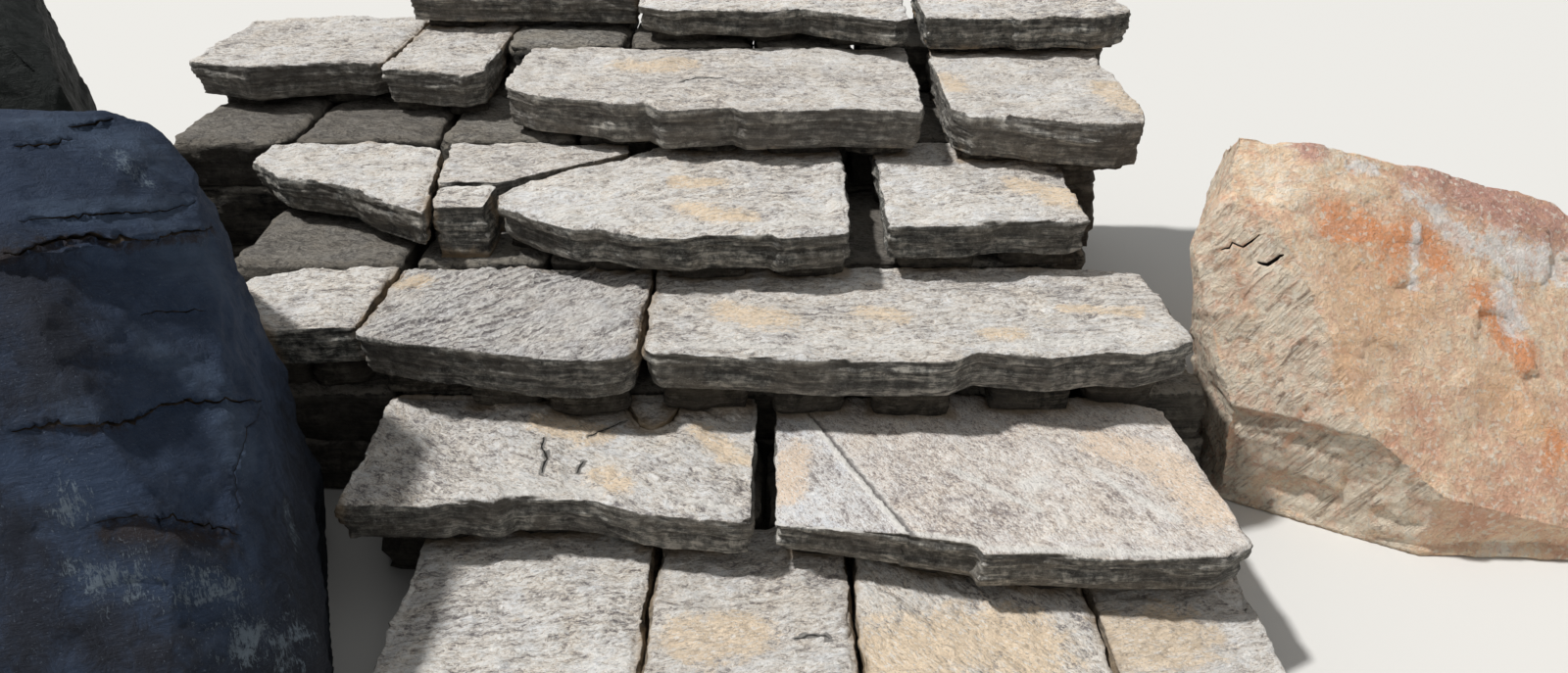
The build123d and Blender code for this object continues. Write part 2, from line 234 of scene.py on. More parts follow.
# what every stone shares
stonePattern = {
    "stoneShift": 7.31,      # metres in the patterns from one stone of a node to the next
    "seedShift": 3.7,        # and from one seed to the next
    "toneSeed": 11.0,
    "rimReach": 5,           # points of the skin that a rim reaches inwards
    "plateRate": 4.0,        # plates per metre along a broken face
    "leafRate": 14.0,        # thin leaves per metre along it
    "leavesPerPlate": 3.6,   # and in the thickness of one plate
    "terraceSteps": 3.0,
    "outcropSize": 0.11,     # width of the parts of a tread where layers crop out
}


def buildWeatherTree():
    tree = bpy.data.node_groups.new("weatherStone", "GeometryNodeTree")
    trees.append(tree)
    tree.interface.new_socket(name="Stone", in_out="INPUT", socket_type="NodeSocketGeometry")
    tree.interface.new_socket(name="Weathered", in_out="OUTPUT", socket_type="NodeSocketGeometry")
    for label, note in weatherInputs.items():
        socket = tree.interface.new_socket(name=label, in_out="INPUT", socket_type="NodeSocketFloat")
        socket.description = note
    tree.interface.new_socket(name="finish", in_out="INPUT", socket_type="NodeSocketMaterial")
    given = putNode("NodeGroupInput").outputs

    # every stone takes its own place in the patterns, turned to its own grain
    where = putNode("GeometryNodeInputPosition").outputs[0]
    island = putNode("GeometryNodeInputMeshIsland").outputs["Island Index"]
    shift = weighed((island, stonePattern["stoneShift"]), (given["seed"], stonePattern["seedShift"]))
    turned = putNode("ShaderNodeVectorRotate", {"Vector": where, "Angle": given["grainTurn"]},
                     rotation_type="Z_AXIS").outputs[0]
    place = vectors("ADD", turned, combined(shift, shift, 0.0))

    normal = putNode("GeometryNodeInputNormal").outputs[0]
    reach = {"Value": normal, "Iterations": stonePattern["rimReach"]}
    softNormal = putNode("GeometryNodeBlurAttribute", reach, data_type="FLOAT_VECTOR").outputs[0]
    roundness = putNode("ShaderNodeVectorMath", {0: softNormal}, operation="LENGTH").outputs["Value"]
    rim = ranged(roundness, 0.99, 0.80)
    outward = putNode("ShaderNodeVectorMath", {0: softNormal}, operation="NORMALIZE").outputs[0]
    up = upPart(outward)
    steep = ranged(maths("ABSOLUTE", up), 0.80, 0.45)
    level = ranged(up, 0.45, 0.85)
    under = ranged(up, -0.4, -0.8)

    # plates that stand in and out up a broken face, with thin leaves and lumps on them
    across, back, rise = putNode("ShaderNodeSeparateXYZ", {0: place}).outputs
    height = total(rise, times(cloud(place, 3.0, 2.0), 0.05))
    rows = maths("DIVIDE", height, given["plateHeight"])
    rate = stonePattern["plateRate"]
    platePlace = combined(times(across, rate), times(back, rate), rows)
    rate = stonePattern["leafRate"]
    leafRows = times(rows, stonePattern["leavesPerPlate"])
    leafPlace = combined(times(across, rate), times(back, rate), leafRows)
    plateCut = ranged(cloud(platePlace, 1.0, 1.5, 0.5), 0.42, 0.58)
    leafCut = ranged(cloud(leafPlace, 1.0, 2.0), 0.35, 0.65)
    layers = weighed((plateCut, 0.7), (leafCut, 0.3))
    layerCut = times(layers, given["plateDepth"], steep)
    rounded = ranged(cloud(scaled(place, given["roughSize"]), 1.0, 4.0, 0.6), 0.25, 0.75)
    chipped = facets(scaled(place, given["roughSize"], (0.8, 1.3, 1.3)))
    flatShare = given["facetShare"]
    lumps = weighed((rounded, maths("SUBTRACT", 1.0, flatShare)), (chipped, flatShare))
    lumpCut = times(lumps, given["roughDepth"], weighed((steep, 0.8), (level, 0.7)))

    # flakes: thin layers that have come off the top, down to one terrace after another
    steps = stonePattern["terraceSteps"]
    flakePlace = scaled(place, given["terraceSize"], (0.55, 1.0, 0.4))
    heights = ranged(cloud(flakePlace, 1.0, 4.0, 0.52, 0.3), 0.28, 0.72, 0.0, steps)
    edge = ranged(maths("FRACT", heights), 0.62, 0.82)
    flake = total(maths("FLOOR", heights), edge)
    terraceCut = times(flake, given["terraceDepth"], 1 / steps, level)

    # layers that crop out across the top, each one's broken edge a small step down to the next
    wander = weighed((cloud(place, 5.0, 3.0), 0.10), (cloud(place, 28.0, 4.0), 0.020))
    along = total(back, times(rise, 0.6), wander)
    strata = maths("DIVIDE", along, given["ridgeSize"])
    barePlace = scaled(place, stonePattern["outcropSize"], (0.45, 1.0, 1.0))
    bare = ranged(cloud(barePlace, 1.0, 3.0), 0.40, 0.56)
    finePlace = scaled(place, given["ridgeSize"], (0.5, 3.6, 3.0))
    fineRidges = ranged(cloud(finePlace, 1.0, 3.0, 0.6, 0.5), 0.30, 0.70)
    coarseRidges = times(maths("FRACT", strata), bare)
    ridges = weighed((coarseRidges, 0.75), (fineRidges, 0.25))
    ridgeCut = times(ridges, given["ridgeDepth"], level)

    # chips out of the rims, and slow swells over the whole stone
    chips = ranged(cloud(scaled(place, given["chipSize"]), 1.0, 4.0, 0.55), 0.42, 0.66)
    nickPlace = scaled(place, given["chipSize"], (2.8, 2.8, 2.8))
    nicks = ranged(cloud(nickPlace, 1.0, 3.0, 0.6), 0.45, 0.65)
    bites = weighed((chips, 0.80), (nicks, 0.20))
    chipCut = times(bites, given["chipDepth"], total(rim, 0.08))
    swells = ranged(cloud(scaled(place, given["swellSize"]), 1.0, 2.0, 0.5), 0.3, 0.7)
    swellCut = times(swells, given["swellDepth"])

    kept = maths("SUBTRACT", 1.0, times(under, 0.8))
    cut = times(total(layerCut, lumpCut, terraceCut, ridgeCut, chipCut, swellCut), kept)
    move = maths("SUBTRACT", times(given["outset"], total(steep, level)), cut)
    offset = putNode("ShaderNodeVectorMath", {0: outward, "Scale": move}, operation="SCALE").outputs[0]

    # what the materials read
    chance = putNode("FunctionNodeRandomValue", {"ID": island}, data_type="FLOAT")
    plug(chance.inputs["Seed"], total(given["seed"], stonePattern["toneSeed"]))
    marks = {
        "grainPlace": place,
        "rim": rim,
        "top": up,
        "hollow": total(times(layers, steep), times(chips, rim, 0.5)),
        "relief": weighed((ridges, 0.5), (lumps, 0.5)),
        "strata": strata,
        "strataShare": times(bare, given["ridgeDepth"], level),
        "stoneTone": chance.outputs[1],
    }
    stored = given["Stone"]
    for label, value in marks.items():
        kind = "FLOAT_VECTOR" if label == "grainPlace" else "FLOAT"
        inputs = {"Geometry": stored, "Name": label, "Value": value}
        store = putNode("GeometryNodeStoreNamedAttribute", inputs, data_type=kind, domain="POINT")
        stored = store.outputs[0]
    shaped = putNode("GeometryNodeSetPosition", {"Geometry": stored, "Offset": offset}).outputs[0]
    smooth = putNode("GeometryNodeSetShadeSmooth", {"Geometry": shaped, "Shade Smooth": True}).outputs[0]
    realized = putNode("GeometryNodeRealizeInstances", {"Geometry": smooth}).outputs[0]
    finished = putNode("GeometryNodeSetMaterial", {"Geometry": realized, "Material": given["finish"]})
    putNode("NodeGroupOutput", {"Weathered": finished.outputs[0]})
    return tree


weatherTree = buildWeatherTree()
weatherItems = weatherTree.interface.items_tree
inputIds = {item.name: item.identifier for item in weatherItems if item.in_out == "INPUT"}
print("weather tree built")


# meshes
mergeDistance = 0.00001   # metres
smoothShare = 0.5         # how far each smoothing goes


def looseSolids(node):
    # the separate stones of a CAD node, each a merged copy
    whole = bmesh.new()
    whole.from_mesh(nodes[node].data)
    bmesh.ops.remove_doubles(whole, verts=whole.verts, dist=mergeDistance)
    seen = set()
    solids = []
    for start in whole.verts:
        if start in seen:
            continue
        stack, group = [start], []
        seen.add(start)
        while stack:
            here = stack.pop()
            group.append(here)
            for edge in here.link_edges:
                other = edge.other_vert(here)
                if other not in seen:
                    seen.add(other)
                    stack.append(other)
        index = {vert: place for place, vert in enumerate(group)}
        faces = {face for vert in group for face in vert.link_faces}
        mesh = bpy.data.meshes.new(node + "Solid")
        mesh.from_pydata([tuple(vert.co) for vert in group], [],
                         [[index[vert] for vert in face.verts] for face in faces])
        solids.append(mesh)
    whole.free()
    return solids


def modified(mesh, *modifiers):
    # the mesh after these modifiers, each a kind and its settings
    thing = placed("worked", mesh)
    for kind, settings in modifiers:
        modifier = thing.modifiers.new(kind.lower(), kind)
        for key, value in settings.items():
            if kind == "NODES" and key != "node_group":
                modifier[inputIds[key]] = value
            else:
                setattr(modifier, key, value)
    bpy.context.view_layer.update()
    shown = thing.evaluated_get(bpy.context.evaluated_depsgraph_get())
    result = bpy.data.meshes.new_from_object(shown)
    bpy.data.objects.remove(thing)
    return result


def dense(mesh, spacing, stretch, smoothing):
    # an even skin of small faces, with its rows closer together up the sides by the stretch
    mesh.transform(Matrix.Diagonal((1, 1, stretch, 1)))
    skin = modified(mesh, ("REMESH", {"mode": "VOXEL", "voxel_size": spacing}),
                    ("SMOOTH", {"factor": smoothShare, "iterations": smoothing}))
    skin.transform(Matrix.Diagonal((1, 1, 1 / stretch, 1)))
    return skin


def joined(name, meshes):
    whole = bmesh.new()
    for mesh in meshes:
        whole.from_mesh(mesh)
    mesh = bpy.data.meshes.new(name)
    whole.to_mesh(mesh)
    whole.free()
    return mesh


def triangles(mesh):
    mesh.calc_loop_triangles()
    return len(mesh.loop_triangles)


def weathered(node, finish, skin, numbers):
    # a CAD node's stones, made dense and weathered by the tree
    meshes = [dense(mesh, **skin) for mesh in looseSolids(node)]
    settings = {"node_group": weatherTree, "finish": finish, **numbers}
    return modified(joined(node + "Raw", meshes), ("NODES", settings))


def thinned(mesh, budget):
    # fewer and larger faces where the stone is plain, and none twice
    count = triangles(mesh)
    if count > budget:
        mesh = modified(mesh, ("DECIMATE", {"ratio": budget / count}))
    mesh.validate()
    return mesh


def readPoints(mesh):
    points = np.empty(len(mesh.vertices) * 3)
    mesh.vertices.foreach_get("co", points)
    return points.reshape(-1, 3)


def writePoints(mesh, points):
    mesh.vertices.foreach_set("co", points.ravel())
    mesh.update()


def finishPiece(mesh, node):
    # no point leaves the model's box, and the object stands for its CAD node
    name = "weathered_" + node
    writePoints(mesh, np.clip(readPoints(mesh), cadBounds[0], cadBounds[1]))
    mesh.name = name
    mesh.shade_smooth()
    piece = placed(name, mesh)
    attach(piece, "root")
    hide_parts(node)
    print(name, triangles(mesh), "triangles")


# marks: numbers on a mesh's points that the materials read
strides = {"ridge": 14, "mark": 7, "cut": 5}   # pixels of the photo from one point of a line to the next


def setMark(mesh, name, values):
    layer = mesh.attributes.new(name, "FLOAT", "POINT")
    layer.data.foreach_set("value", np.clip(values, 0, 1).astype(np.float32))


def surfaceOf(mesh):
    faces = [tuple(face.vertices) for face in mesh.polygons]
    return BVHTree.FromPolygons([vert.co for vert in mesh.vertices], faces)


def onSurface(surface, pixels, stride):
    # where a line of the photo falls on a stone, with the stone's outward direction there
    points, normals = [], []
    for (acrossA, downA), (acrossB, downB) in zip(pixels, list(pixels[1:]) + [pixels[-1]]):
        pieces = max(1, round(math.hypot(acrossB - acrossA, downB - downA) / stride))
        for index in range(pieces):
            share = index / pieces
            eye, ray = photoRay(acrossA + share * (acrossB - acrossA), downA + share * (downB - downA))
            hit, normal = surface.ray_cast(eye, ray)[:2]
            if hit is not None:
                points.append(hit)
                normals.append(normal if normal.dot(ray) < 0 else -normal)
    return points, normals


def photoMark(mesh, surface, lines):
    # 1 on these lines of the photo, and falling to 0 at each one's own reach in metres
    points = readPoints(mesh)
    mark = np.zeros(len(points))
    for reach, *pixels in lines:
        for spot in onSurface(surface, pixels, strides["mark"])[0]:
            mark = np.maximum(mark, 1 - np.linalg.norm(points - np.array(spot), axis=1) / reach)
    return mark


def acrossLine(mesh, surface, line):
    # how far each point lies to the left of a line of the photo, seen in plan
    spots = onSurface(surface, line, strides["ridge"])[0]
    along = (spots[-1] - spots[0]).xy.normalized()
    apart = readPoints(mesh)[:, :2] - np.array(spots[0].xy)
    return apart[:, 0] * along.y - apart[:, 1] * along.x


def closeness(mesh, node, reach):
    # 1 where other stones touch, falling to 0 at this reach
    low, high = [Vector(corner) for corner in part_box(node)]
    near = []
    for other in nodes:
        otherLow, otherHigh = [Vector(corner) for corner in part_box(other)]
        apart = max(max(low[axis] - otherHigh[axis], otherLow[axis] - high[axis]) for axis in range(3))
        if other != node and apart < reach:
            near.append(surfaceOf(nodes[other].data))
    values = np.zeros(len(mesh.vertices))
    for index, vert in enumerate(mesh.vertices):
        for surface in near:
            distance = surface.find_nearest(vert.co, reach)[3]
            if distance is not None:
                values[index] = max(values[index], 1 - distance / reach)
    return values


# ledges: the face steps back under a line and comes out again over the ledge's width
ledgeShape = {
    "ends": 0.5,    # lower for ledges that reach their depth sooner from their ends
    "fall": 1.5,    # higher for a face that comes out again sooner below
}


def ledged(mesh, ledges, bedding):
    points = readPoints(mesh)
    for depth, width, *pixels in ledges:
        spots, normals = [np.array(values) for values in onSurface(surfaceOf(mesh), pixels, strides["cut"])]
        fade = np.sin(np.pi * (np.arange(len(spots)) + 0.5) / len(spots)) ** ledgeShape["ends"]
        inReach = (points > spots.min(0) - width) & (points < spots.max(0) + width)
        near = np.flatnonzero(np.all(inReach, axis=1))
        apart = points[near, None, :] - spots[None, :, :]
        nearest = np.argmin(np.linalg.norm(apart, axis=2), axis=1)
        outward = normals[nearest]
        rise = np.array(bedding) - outward * (outward @ np.array(bedding))[:, None]
        rise /= np.linalg.norm(rise, axis=1)[:, None]
        offset = apart[np.arange(len(near)), nearest]
        below = -np.sum(offset * rise, axis=1)
        level = np.abs(np.sum(offset * np.cross(rise, outward), axis=1))
        share = np.where(below > 0, 1 - below / width, 0).clip(0, 1) ** ledgeShape["fall"]
        share = share * (1 - level / width).clip(0, 1)
        points[near] -= outward * (depth * fade[nearest] * share)[:, None]
    writePoints(mesh, points)
    return mesh


# cracks: a thin jagged blade is driven into the stone along a line and cut away
crackShape = {
    "wander": 0.0022,           # how far the line strays to its sides
    "proud": 0.02,              # how far the blade stands out of the face
    "narrowEnd": 0.15,          # share of the width and depth that is left at the ends
    "ends": 0.5,
    "halfWidth": (0.35, 0.65),  # share of the width to each side
    "inner": 0.3,               # share of the width that is left at the bottom
    "evening": 5,               # points to each side that the direction is taken from
}


def crackBlade(points, normals, width, depth, generator):
    # the blade follows points on the surface, wide at the face and thin inside
    count = len(points)
    verts = []
    for index, point in enumerate(points):
        near = slice(max(index - crackShape["evening"], 0), index + crackShape["evening"] + 1)
        outward = sum(normals[near], Vector()).normalized()
        ahead = points[near][-1] - points[near][0]
        sideways = ahead.cross(outward).normalized()
        middle = point + sideways * generator.normal(0, crackShape["wander"])
        bulge = math.sin(math.pi * (index + 0.5) / count) ** crackShape["ends"]
        taper = crackShape["narrowEnd"] + (1 - crackShape["narrowEnd"]) * bulge
        half = sideways * width * taper * generator.uniform(*crackShape["halfWidth"])
        inner = half * crackShape["inner"]
        outside = middle + outward * crackShape["proud"]
        inside = middle + outward * -depth * taper
        verts += [outside + half, outside - half, inside - inner, inside + inner]
    faces = [(0, 1, 2, 3), tuple(4 * (count - 1) + corner for corner in (3, 2, 1, 0))]
    for index in range(count - 1):
        a, b = 4 * index, 4 * index + 4
        faces += [(a + k, b + k, b + (k + 1) % 4, a + (k + 1) % 4) for k in range(4)]
    mesh = bpy.data.meshes.new("blade")
    mesh.from_pydata([tuple(vert) for vert in verts], [], faces)
    work = bmesh.new()
    work.from_mesh(mesh)
    bmesh.ops.triangulate(work, faces=work.faces)
    bmesh.ops.recalc_face_normals(work, faces=work.faces)
    work.to_mesh(mesh)
    work.free()
    return mesh


crackSeeds = {"slabs": 12, "boulders": 31}


def cracked(mesh, cracks, generator, inside):
    # each crack's width and depth come before its line in the photo
    if not cracks:
        return mesh
    surface = surfaceOf(mesh)
    blades = []
    for width, depth, *pixels in cracks:
        points, normals = onSurface(surface, pixels, strides["cut"])
        blades.append(crackBlade(points, normals, width, depth, generator))
    blade = joined("blades", blades)
    blade.materials.append(inside)
    cutter = placed("cutter", blade)
    cut = modified(mesh, ("BOOLEAN", {"operation": "DIFFERENCE", "solver": "MANIFOLD", "object": cutter,
                                      "material_mode": "TRANSFER"}))
    bpy.data.objects.remove(cutter)
    if triangles(cut) < triangles(mesh):
        raise RuntimeError("the cracks took away more than themselves")
    return cut


# materials

def paint(red, green, blue):
    # a colour as it shows on screen, 0 to 255
    return tuple(((part / 255 + 0.055) / 1.055) ** 2.4 for part in (red, green, blue))


def startTree(owner):
    owner.use_nodes = True
    owner.node_tree.nodes.clear()
    trees.append(owner.node_tree)


def startMaterial(name):
    material = bpy.data.materials.new(name)
    startTree(material)
    shader = putNode("ShaderNodeBsdfPrincipled")
    putNode("ShaderNodeOutputMaterial", {"Surface": shader.outputs[0]})
    return material, shader


def blend(share, first, second, mode="MIX"):
    node = putNode("ShaderNodeMix", {0: share}, data_type="RGBA", blend_type=mode)
    for socket, colour in ((node.inputs[6], first), (node.inputs[7], second)):
        plug(socket, colour if isinstance(colour, bpy.types.NodeSocket) else (*colour, 1))
    return node.outputs[2]


def ramp(share, look, **stops):
    # from one colour of the look to the next, each with its place
    node = putNode("ShaderNodeValToRGB", {0: share})
    while len(node.color_ramp.elements) < len(stops):
        node.color_ramp.elements.new(0.5)
    for element, (colour, place) in zip(node.color_ramp.elements, stops.items()):
        element.position = place
        element.color = (*look[colour], 1)
    return node.outputs[0]


def readMark(name, output="Fac"):
    return putNode("ShaderNodeAttribute", attribute_name=name, attribute_type="GEOMETRY").outputs[output]


def crystal(where):
    # one random number for each small grain of the stone
    cells = putNode("ShaderNodeTexVoronoi", {"Vector": where, "Scale": 1.0})
    return putNode("ShaderNodeSeparateColor", {0: cells.outputs["Color"]}).outputs[0]


def painted(colour, look, *coats):
    # coats of colour, one over another: which, by what value, from and to where, how strong
    for coat, value, low, high, strength in coats:
        colour = blend(ranged(value, low, high, 0.0, strength), colour, look[coat])
    return colour


def finishStone(shader, look, colour, roughness, height):
    bump = putNode("ShaderNodeBump", {"Strength": 1.0, "Distance": look["bump"], "Height": height})
    plug(shader.inputs["Base Color"], colour)
    plug(shader.inputs["Roughness"], roughness)
    plug(shader.inputs["Specular IOR Level"], look["specular"])
    plug(shader.inputs["Normal"], bump.outputs[0])


def splitStone(name, look):
    # a stone that splits in layers: pale flat faces, dark layered broken ones
    material, shader = startMaterial(name)
    fine = look["fineness"]
    where = stretched(readMark("grainPlace", "Vector"), fine, fine, fine)
    up = upPart(putNode("ShaderNodeNewGeometry").outputs["Normal"])
    broad = cloud(where, 1.9, 3.0, 0.55, 0.4)
    patches = cloud(where, 7.0, 5.0, 0.62, 0.8)
    mottle = cloud(where, 30.0, 8.0, 0.70)
    waves = cloud(stretched(where, 12.0, 22.0, 22.0), 1.0, 5.0, 0.62, 1.6)
    bands = cloud(stretched(where, 46.0, 90.0, 90.0), 1.0, 6.0, 0.72, 1.0)
    threads = cloud(stretched(where, 90.0, 170.0, 170.0), 1.0, 4.0, 0.75, 0.6)
    grains = crystal(stretched(where, 95.0, 260.0, 260.0))
    fleck = cloud(stretched(where, 150.0, 250.0, 250.0), 1.0, 3.0, 0.7)
    flats = facets(stretched(where, 60.0, 100.0, 100.0))
    saw = maths("FRACT", readMark("strata"))
    outcrop = ranged(readMark("strataShare"), 0.0, 0.008)

    # the split face: wavy fine grain, darker where the top is cut deeper as painted shade, tinted in patches
    grain = weighed((waves, 0.26), (bands, 0.28), (threads, 0.30), (mottle, 0.16))
    grain = frayed(grain, (readMark("relief"), -0.09), (broad, 0.12))
    tread = ramp(grain, look, dark=0.44, middle=0.495, pale=0.545)
    tread = blend(ranged(patches, 0.50, 0.62), tread, look["coolTint"], "MULTIPLY")
    tread = blend(ranged(patches, 0.48, 0.36), tread, look["warmTint"], "MULTIPLY")

    # the slanting ridge, at 0.5 of its mark: a cooler face left of it as a painted tint of light, a pale crown
    # as painted highlight and a dark crease as painted shadow
    side = frayed(readMark("ridgeSide"), (mottle, 0.012), (threads, 0.004))
    crease = times(ranged(side, 0.4915, 0.4970), ranged(side, 0.5006, 0.4990))
    crown = times(ranged(side, 0.4995, 0.5010), ranged(side, 0.5100, 0.5050))
    tread = blend(ranged(side, 0.498, 0.502), tread, look["facetTint"], "MULTIPLY")

    # sandy stains, the crests of layers that crop out paler as painted highlight and their feet darker as
    # painted shadow, worn lines and crystals
    stained = frayed(readMark("sand"), (mottle, 1.4), (patches, 1.4), (threads, 0.8))
    ragged = frayed(saw, (threads, 0.7))
    crest = times(outcrop, ranged(ragged, 0.24, 0.02))
    foot = times(outcrop, ranged(ragged, 0.74, 0.98))
    worn = frayed(readMark("worn"), (mottle, 0.9))
    tread = painted(tread, look, ("sand", stained, 0.30, 0.75, 0.85))
    # painted highlight on the crests, painted shadow at the feet
    tread = blend(times(crest, 0.75), tread, look["rim"])
    tread = blend(times(foot, 0.55), tread, look["grainDark"])
    tread = painted(
        tread, look,
        ("rim", worn, 0.25, 0.70, 0.8),
        ("grainDark", grains, 0.16, 0.02, 0.6 * look["speckle"]),
        ("grainPale", grains, 0.80, 0.97, look["speckle"]),
        ("grainDark", fleck, 0.45, 0.30, 0.6),
        ("grainPale", fleck, 0.57, 0.72, 0.6),
    )
    tread = blend(times(crown, 0.9), tread, look["rim"])
    tread = blend(times(crease, 0.85), tread, look["grainDark"])

    # the broken face: thin leaves one over another, rough and darker, partly as painted shade
    leaves = cloud(stretched(where, 7.0, 7.0, 95.0), 1.0, 6.0, 0.75, 0.6)
    broken = weighed((leaves, 0.5), (mottle, 0.5))
    riser = ramp(broken, look, riserDark=0.42, riserMiddle=0.50, riserPale=0.58)
    riser = painted(
        riser, look,
        ("riserBrown", patches, 0.44, 0.60, 0.6),
        ("riserPale", fleck, 0.56, 0.72, 0.6),
        # darker in the hollows of the broken face: painted shade
        ("riserDark", readMark("hollow"), 0.35, 1.0, 0.55),
    )

    # both together, with pale rims, and soil and painted shade beside the next stone
    facing = weighed((readMark("top"), 0.6), (up, 0.4))
    colour = blend(ranged(frayed(facing, (mottle, 0.5)), 0.42, 0.60), riser, tread)
    # pale rims on the upward edges: worn edges, partly painted highlight
    rim = times(readMark("rim"), ranged(mottle, 0.36, 0.54), ranged(up, 0.0, 0.7))
    # soil and painted shade where other stones come close
    soilAndShadeMask = frayed(readMark("near"), (mottle, 1.0), (patches, 0.8))
    colour = painted(colour, look, ("rim", rim, 0.15, 0.65, 0.8), ("soilAndShade", soilAndShadeMask, 0.45, 1.0, 0.8))
    colour = blend(times(readMark("stoneTone"), look["variety"]), colour, look["toned"])
    roughness = ranged(grains, 0.1, 0.95, 0.94, 0.66)
    height = weighed((mottle, 0.8), (waves, 0.8), (bands, 0.7), (threads, 0.25), (fleck, 0.15), (leaves, 0.5),
                     (flats, 0.5), (times(saw, outcrop), -0.25), (crown, 0.3), (crease, -0.3))
    finishStone(shader, look, colour, roughness, height)
    return material


slabLook = {
    "dark": paint(138, 131, 129),
    "middle": paint(236, 226, 213),
    "pale": paint(252, 249, 243),
    "coolTint": (0.94, 0.96, 1.0),
    "warmTint": (1.0, 0.97, 0.93),
    "facetTint": (0.93, 0.99, 1.07),
    "sand": paint(255, 229, 194),
    "grainDark": paint(104, 99, 99),
    "grainPale": paint(255, 252, 247),
    "speckle": 0.6,
    "riserDark": paint(40, 40, 39),
    "riserMiddle": paint(113, 114, 109),
    "riserPale": paint(206, 201, 190),
    "riserBrown": paint(107, 101, 91),
    "rim": paint(246, 242, 234),
    "soilAndShade": paint(172, 146, 112),
    "toned": paint(184, 174, 164),
    "variety": 0.2,      # how much the stones differ
    "specular": 0.3,
    "bump": 0.010,
    "fineness": 1.2,     # higher for a finer grain
}
speckledLook = dict(
    slabLook,
    dark=paint(144, 132, 128),
    middle=paint(228, 214, 201),
    pale=paint(252, 245, 236),
    sand=paint(250, 224, 196),
    speckle=0.8,
    bump=0.006,
    fineness=1.8,
)
rippledLook = dict(
    slabLook,
    dark=paint(112, 106, 108),
    middle=paint(212, 204, 197),
    pale=paint(246, 242, 236),
    bump=0.013,
)
baseLook = dict(
    slabLook,
    dark=paint(88, 85, 81),
    middle=paint(138, 133, 125),
    pale=paint(184, 178, 167),
    sand=paint(150, 134, 110),
    grainDark=paint(70, 66, 60),
    grainPale=paint(186, 180, 168),
    riserMiddle=paint(98, 94, 86),
    riserPale=paint(140, 134, 122),
    rim=paint(172, 164, 150),
    soilAndShade=paint(104, 92, 77),
    toned=paint(98, 91, 83),
    variety=0.5,
    bump=0.014,
)
packingLook = dict(
    baseLook,
    dark=paint(78, 72, 64),
    middle=paint(108, 100, 89),
    pale=paint(138, 129, 115),
    riserMiddle=paint(84, 79, 70),
    rim=paint(138, 130, 116),
    toned=paint(74, 66, 56),
)
slabStone = splitStone("splitGreyStone", slabLook)
speckledStone = splitStone("speckledGreyStone", speckledLook)
rippledStone = splitStone("rippledGreyStone", rippledLook)
baseStone = splitStone("baseStone", baseLook)
packingStone = splitStone("packingStone", packingLook)


dirtLook = {"deep": paint(22, 19, 16), "pale": paint(66, 54, 42), "roughness": 0.95}


def crackDirt(look):
    material, shader = startMaterial("crackDirt")
    earth = cloud(putNode("ShaderNodeTexCoord").outputs["Object"], 60.0, 5.0, 0.6)
    colour = ramp(earth, look, deep=0.35, pale=0.7)
    plug(shader.inputs["Base Color"], colour)
    plug(shader.inputs["Roughness"], look["roughness"])
    return material


crackWall = crackDirt(dirtLook)

# bedding direction of the left boulder, square to its layers
leftBedding = (-0.199, 0.391, 0.899)
# the dark blue of these colours is partly painted shade over the stone's own grey
darkLook = {
    "deep": paint(38, 50, 70),
    "middle": paint(53, 69, 94),
    "pale": paint(76, 91, 116),
    "fleck": paint(120, 132, 146),
    "darkBelow": paint(36, 39, 46),
    "rust": paint(52, 44, 42),
    "scuff": paint(124, 138, 150),
    # painted sheen: lighter blue-grey patches and ledge edges where light falls
    "paintedSheen": paint(84, 100, 122),
    # brown dust streaks, darkened further as painted shade
    "dustAndShade": paint(38, 39, 46),
    "specular": 0.2,
    "bump": 0.020,
}
# the same stone much darker: partly painted shade
shadedLook = dict(
    darkLook,
    deep=paint(22, 27, 25),
    middle=paint(31, 36, 33),
    pale=paint(48, 53, 48),
    fleck=paint(74, 78, 73),
    darkBelow=paint(30, 30, 28),
)


